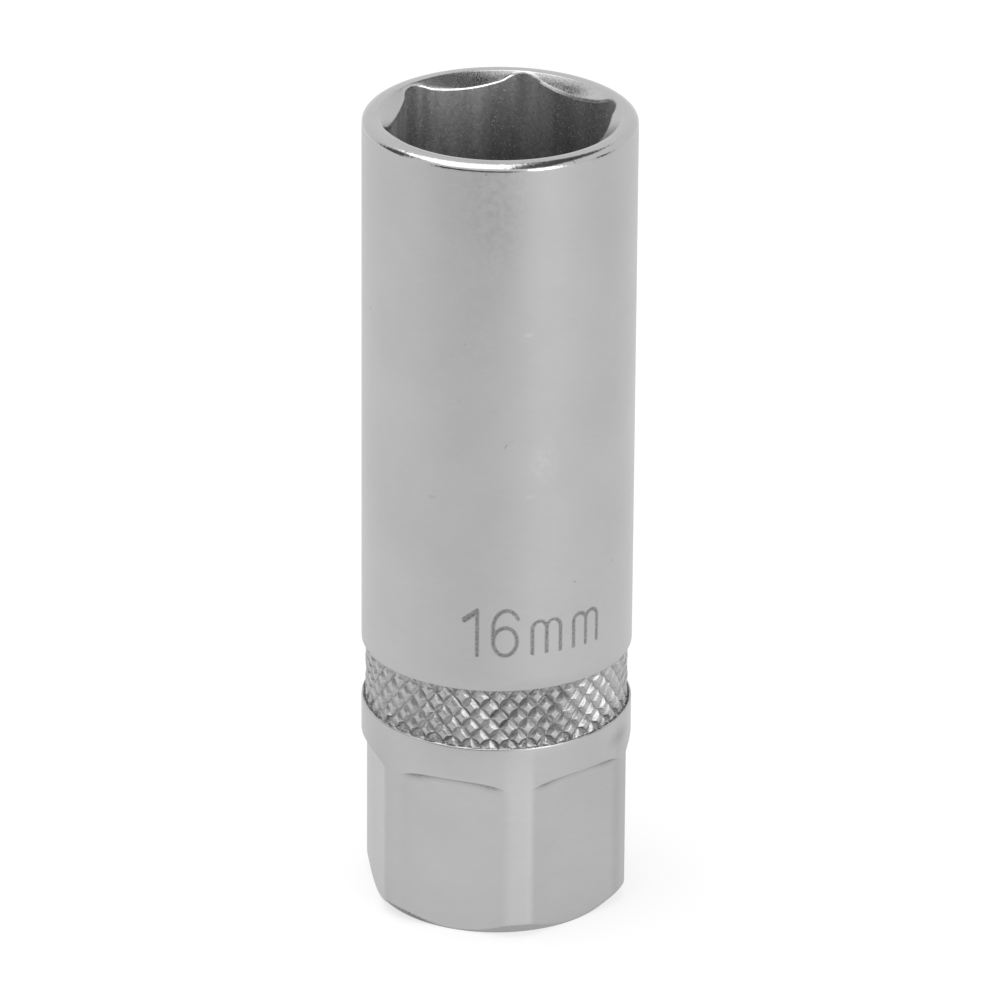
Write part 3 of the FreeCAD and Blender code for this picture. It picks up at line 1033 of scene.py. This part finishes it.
def makeSatinChrome():
    material, tree, shader = newMaterial("satinChrome")
    place = objectPlace(tree)
    layer = {label: pointLayer(tree, label) for label in finishNames}
    look = {label: noise(tree, place, *values) for label, values in chromeNoise.items()}

    shine = tubeShine(tree, place, look, layer)
    rolledShine = varied(tree, shine, look, "lines")
    shine = blendValue(tree, layer["rolledBand"], shine, rolledShine)
    shine = blendValue(tree, layer["innerSkin"], shine, innerShine(tree, look))
    # cuts and painted shade take the darker shine
    shine = blendValue(tree, layer["cutAndPaintedShade"], shine, cutAndShadeShine(tree, look, layer))
    colour = tree.nodes.new("ShaderNodeCombineColor")
    for socket in colour.inputs[:3]:
        tree.links.new(shine, socket)
    tree.links.new(colour.outputs["Color"], shader.inputs["Base Color"])
    shader.inputs["Metallic"].default_value = 1.0

    rough = add(tree, satinChrome["roughness"], changed(tree, look["grain"], "roughGrain"))
    for label, value in (("rolledBand", "rolledRoughness"), ("innerSkin", "innerRoughness"),
                         ("polish", "rimRoughness")):
        rough = blendValue(tree, layer[label], rough, satinChrome[value])
    tree.links.new(rough, shader.inputs["Roughness"])

    relief = add(tree, look["grain"], multiply(tree, look["tooling"], satinChrome["toolingRelief"]))
    for label, source, height in (("rolledBand", "lines", "rolledRelief"),
                                  ("innerSkin", "streak", "innerRelief"),
                                  ("plateGrain", "glintSpeck", "platedRelief"),
                                  ("polish", "peel", "rimRelief")):
        relief = blendValue(tree, layer[label], relief, multiply(tree, look[source], satinChrome[height]))
    addBump(tree, shader, relief, satinChrome["bumpDistance"], satinChrome["bumpStrength"])
    return material


socketSteel.data.materials.append(makeSatinChrome())

# black moulded rubber with a dusty bloom
gripRubber = {
    "dark": (0.018, 0.018, 0.019, 1.0),
    "pale": (0.045, 0.045, 0.047, 1.0),
    "roughness": 0.62,
    "bloomNoise": (350.0, 5.0),
    "bloomShare": (0.35, 0.7, 0.0, 1.0),
    "bloomRoughness": (0.3, 0.7, -0.08, 0.12),
    "poreNoise": (5200.0, 2.0),
    "bumpDistance": 0.00003,
    "bumpStrength": 0.5,
}


def makeGripRubber():
    material, tree, shader = newMaterial("gripRubber")
    place = objectPlace(tree)
    bloom = noise(tree, place, *gripRubber["bloomNoise"])
    colour = tree.nodes.new("ShaderNodeMix")
    colour.data_type = "RGBA"
    tree.links.new(spread(tree, bloom, *gripRubber["bloomShare"]), colour.inputs[0])
    colour.inputs[6].default_value = gripRubber["dark"]
    colour.inputs[7].default_value = gripRubber["pale"]
    tree.links.new(colour.outputs[2], shader.inputs["Base Color"])
    rough = add(tree, gripRubber["roughness"], spread(tree, bloom, *gripRubber["bloomRoughness"]))
    tree.links.new(rough, shader.inputs["Roughness"])
    pores = noise(tree, place, *gripRubber["poreNoise"])
    addBump(tree, shader, pores, gripRubber["bumpDistance"], gripRubber["bumpStrength"])
    return material


rubber = makeGripRubber()
grip = frame["nodes"]["rubber_grip"]
for slot in grip.material_slots:
    slot.material = rubber
print("finishes: satin chrome, grip rubber")

# camera: a long lens, its distance and target in millimetres and its turns in degrees
view = {
    "distance": 676.4,
    "elevation": 24.16,
    "turn": -18.83,
    "roll": 0.407,
    "lens": 313.6,
    "sensor": 36.0,
    "clipStart": 0.05,  # metres
    "clipEnd": 10.0,
    "targetX": 0.184,
    "targetZ": 32.81,
}


def makeCamera():
    data = bpy.data.cameras.new("camera")
    data.lens = view["lens"]
    data.sensor_width = view["sensor"]
    data.clip_start = view["clipStart"]
    data.clip_end = view["clipEnd"]
    camera = newObject("camera", data)
    up = math.radians(view["elevation"])
    back = Vector((0.0, -math.cos(up), math.sin(up)))
    right = Vector((1.0, 0.0, 0.0))
    pose = Matrix((right, back.cross(right), back)).transposed().to_4x4()
    pose = pose @ Matrix.Rotation(math.radians(view["roll"]), 4, "Z")
    pose.translation = Vector((view["targetX"], 0.0, view["targetZ"])) * mm + back * view["distance"] * mm
    camera.matrix_world = Matrix.Rotation(math.radians(view["turn"]), 4, "Z") @ pose
    bpy.context.scene.camera = camera


# surroundings in metres: pale floor, white room, soft lamps, and dark cards for the steel to mirror
studio = {
    "floorSize": 6.0,
    "floorColour": (0.93, 0.93, 0.93, 1.0),
    "floorRoughness": 0.9,
    "floorGlow": 0.7,
    "roomLight": 0.88,
    "cardColour": (0.08, 0.08, 0.08, 1.0),
    "cardRoughness": 1.0,
    "cardColumns": 24,
    "lampTarget": 0.03,  # height on the socket that the side lamp points at
}
# its turn is taken from the camera's side in degrees, right is plus, and lift is its height angle
rightLamp = {"turn": 38.0, "lift": 19.0, "distance": 0.9, "width": 0.36, "tall": 0.66, "power": 2.4}
# sheets over the socket as seen from the camera's side
overheadLamp = {"left": -0.74, "right": 0.1, "near": -0.6, "far": 0.45, "height": 0.9, "power": 4.6}
overheadCard = {"left": 0.045, "right": 0.27, "near": -0.29, "far": 0.36, "height": 0.465}
# curved cards: first and last turn from the camera's side, distance, lower and upper edge
cards = {
    "frontCard": (-54.0, 14.0, 0.3, 0.001, 0.16),
    "leftCard": (-112.0, -83.0, 0.3, 0.071, 0.33),
    "rightCard": (84.0, 98.0, 0.3, 0.001, 0.14),
}


def seenRays(tree):
    # 1 for what the camera, the steel's gloss or glass sees
    path = tree.nodes.new("ShaderNodeLightPath")
    seen = combine(tree, "MAXIMUM", path.outputs["Is Camera Ray"], path.outputs["Is Glossy Ray"])
    return combine(tree, "MAXIMUM", seen, path.outputs["Is Transmission Ray"])


def mattMaterial(name, colour, roughness):
    material, tree, shader = newMaterial(name)
    shader.inputs["Base Color"].default_value = colour
    shader.inputs["Roughness"].default_value = roughness
    shader.inputs["Specular IOR Level"].default_value = 0.0
    return material, tree, shader


def stagePiece(name, points, faces, material):
    mesh = bpy.data.meshes.new(name)
    mesh.from_pydata(points, [], faces)
    mesh.materials.append(material)
    piece = newObject(name, mesh)
    return piece


def makeFloor():
    material, tree, shader = mattMaterial("paleFloor", studio["floorColour"], studio["floorRoughness"])
    glow = tree.nodes.new("ShaderNodeEmission")
    blend = tree.nodes.new("ShaderNodeMixShader")
    tree.links.new(multiply(tree, seenRays(tree), studio["floorGlow"]), blend.inputs[0])
    tree.links.new(shader.outputs[0], blend.inputs[1])
    tree.links.new(glow.outputs[0], blend.inputs[2])
    tree.links.new(blend.outputs[0], tree.nodes["Material Output"].inputs["Surface"])
    half = studio["floorSize"] / 2
    corners = [(-half, -half, 0), (half, -half, 0), (half, half, 0), (-half, half, 0)]
    stagePiece("floor", corners, [(0, 1, 2, 3)], material)


def makeRoom():
    world = bpy.data.worlds.new("whiteRoom")
    bpy.context.scene.world = world
    world.use_nodes = True
    tree = world.node_tree
    background = tree.nodes["Background"]
    background.inputs["Color"].default_value = (1.0, 1.0, 1.0, 1.0)
    strength = blendValue(tree, seenRays(tree), studio["roomLight"], 1.0)
    tree.links.new(strength, background.inputs["Strength"])


def outward(turn, lift):
    # unit vector from the socket, with the turn taken from the camera's side
    around = math.radians(turn - 90.0 + view["turn"])
    up = math.radians(lift)
    return Vector((math.cos(around) * math.cos(up), math.sin(around) * math.cos(up), math.sin(up)))


def cameraSide(across, away, height):
    # a place over the socket, measured across and away from the camera's side
    return Matrix.Rotation(math.radians(view["turn"]), 4, "Z") @ Matrix.Translation((across, away, height))


def addLamp(name, width, tall, power):
    data = bpy.data.lights.new(name, "AREA")
    data.shape = "RECTANGLE"
    data.size = width
    data.size_y = tall
    data.energy = power
    return newObject(name, data)


def makeLamps():
    lamp = addLamp("rightLamp", rightLamp["width"], rightLamp["tall"], rightLamp["power"])
    out = outward(rightLamp["turn"], rightLamp["lift"])
    lamp.location = Vector((0.0, 0.0, studio["lampTarget"])) + out * rightLamp["distance"]
    lamp.rotation_euler = out.to_track_quat("Z", "Y").to_euler()
    sheet = overheadLamp
    width = sheet["right"] - sheet["left"]
    reach = sheet["far"] - sheet["near"]
    lamp = addLamp("overheadLamp", width, reach, sheet["power"])
    across = (sheet["left"] + sheet["right"]) / 2
    away = (sheet["near"] + sheet["far"]) / 2
    lamp.matrix_world = cameraSide(across, away, sheet["height"])


def hideCard(card):
    # only the steel's gloss sees a card
    card.visible_camera = False
    card.visible_diffuse = False
    card.visible_shadow = False


def makeCards():
    material, tree, shader = mattMaterial("cardBlack", studio["cardColour"], studio["cardRoughness"])
    columns = studio["cardColumns"]
    faces = [(2 * i, 2 * i + 2, 2 * i + 3, 2 * i + 1) for i in range(columns)]
    for name, (first, last, distance, low, high) in cards.items():
        points = []
        for i in range(columns + 1):
            out = outward(first + (last - first) * i / columns, 0.0) * distance
            points += [(out.x, out.y, low), (out.x, out.y, high)]
        hideCard(stagePiece(name, points, faces, material))
    sheet = overheadCard
    corners = (("left", "near"), ("right", "near"), ("right", "far"), ("left", "far"))
    points = [tuple(cameraSide(sheet[x], sheet[y], sheet["height"]).translation) for x, y in corners]
    hideCard(stagePiece("overheadCard", points, [(0, 1, 2, 3)], material))


makeCamera()
makeFloor()
makeRoom()
makeLamps()
makeCards()
bpy.context.scene.view_settings.view_transform = "Standard"
print("camera, floor, room, lamps and cards done")
